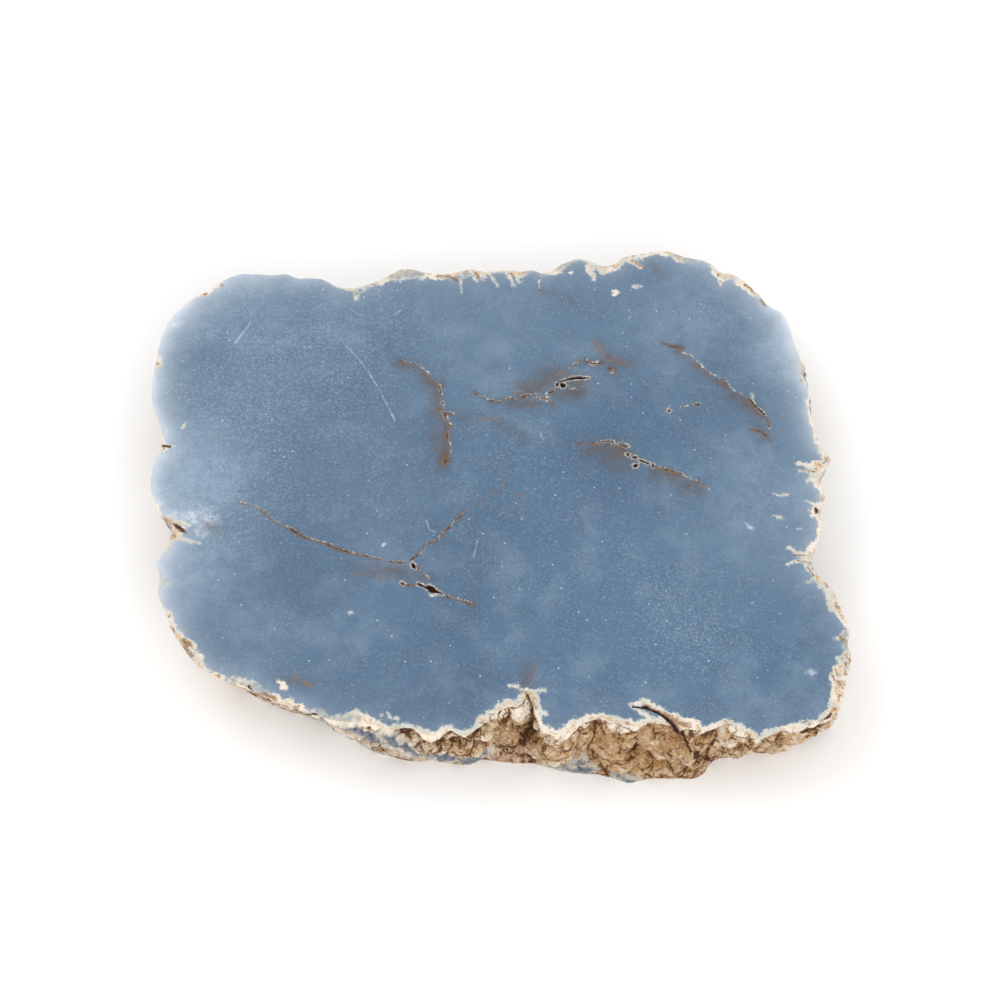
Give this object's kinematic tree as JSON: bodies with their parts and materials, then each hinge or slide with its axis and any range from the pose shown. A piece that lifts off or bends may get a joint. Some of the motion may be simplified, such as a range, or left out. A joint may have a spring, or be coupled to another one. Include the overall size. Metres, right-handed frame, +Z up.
{
  "type": "blue anhydrite slab",
  "caption": "Sawn slab of blue anhydrite with a flat polished face, a flat base and a lumpy natural rind around its ragged edge.",
  "frame": {"origin": "middle of the slab's outline, on the flat sawn base that it rests on", "axes": "+Z up out of the polished face, +X to the right along the slab's width, +Y away from the viewer"},
  "size_m": [0.1527, 0.1239, 0.018],
  "materials": {
    "anhydrite": "greyish blue, sawn and polished to a soft sheen on the face, with a rough cream and rust-brown rind at the side"
  },
  "bodies": {
    "root": {"slab": "anhydrite"}
  },
  "joints": []
}
